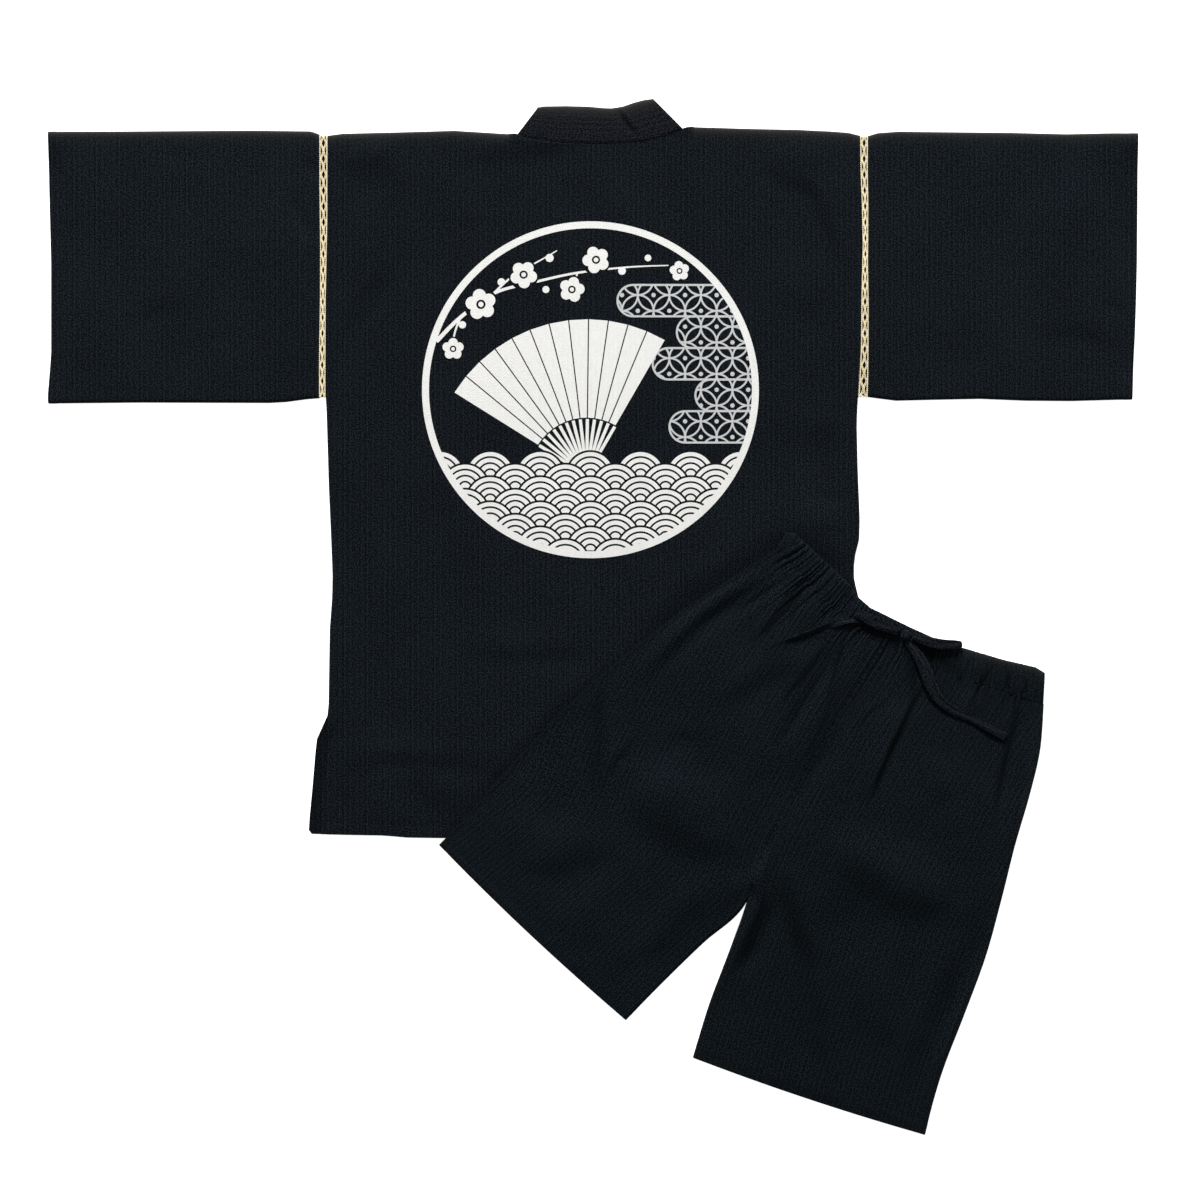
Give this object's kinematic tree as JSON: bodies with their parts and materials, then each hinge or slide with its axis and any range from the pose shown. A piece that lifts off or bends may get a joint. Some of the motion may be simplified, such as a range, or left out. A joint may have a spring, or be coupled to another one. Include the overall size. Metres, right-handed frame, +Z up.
{
  "type": "jinbei set laid flat",
  "caption": "Jinbei set laid flat: short kimono-style jacket face down with ladder-lace armholes, and gathered-waist short trousers lying across its lower corner.",
  "frame": {"origin": "middle of the set's footprint, on the surface it lies on", "axes": "+X along the sleeves, +Y towards the collar, +Z up from the surface"},
  "size_m": [1.1754, 1.1173, 0.0179],
  "materials": {
    "cotton": "ribbed seersucker-weave cotton, near-black indigo",
    "lace": "cream cotton ladder lace"
  },
  "bodies": {
    "root": {"back": "cotton", "front_left": "cotton", "front_right": "cotton", "collar": "cotton", "sleeve_left": "cotton", "sleeve_right": "cotton", "lace_left_back": "lace", "lace_left_front": "lace", "lace_right_back": "lace", "lace_right_front": "lace", "himo_inner_seam": "cotton", "himo_inner_front": "cotton", "himo_outer_front": "cotton", "himo_outer_seam": "cotton", "leg_left": "cotton", "leg_right": "cotton", "waistband": "cotton", "tie_knot": "cotton", "tie_loop_left": "cotton", "tie_loop_right": "cotton", "tie_tail_left": "cotton", "tie_tail_right": "cotton"}
  },
  "joints": []
}
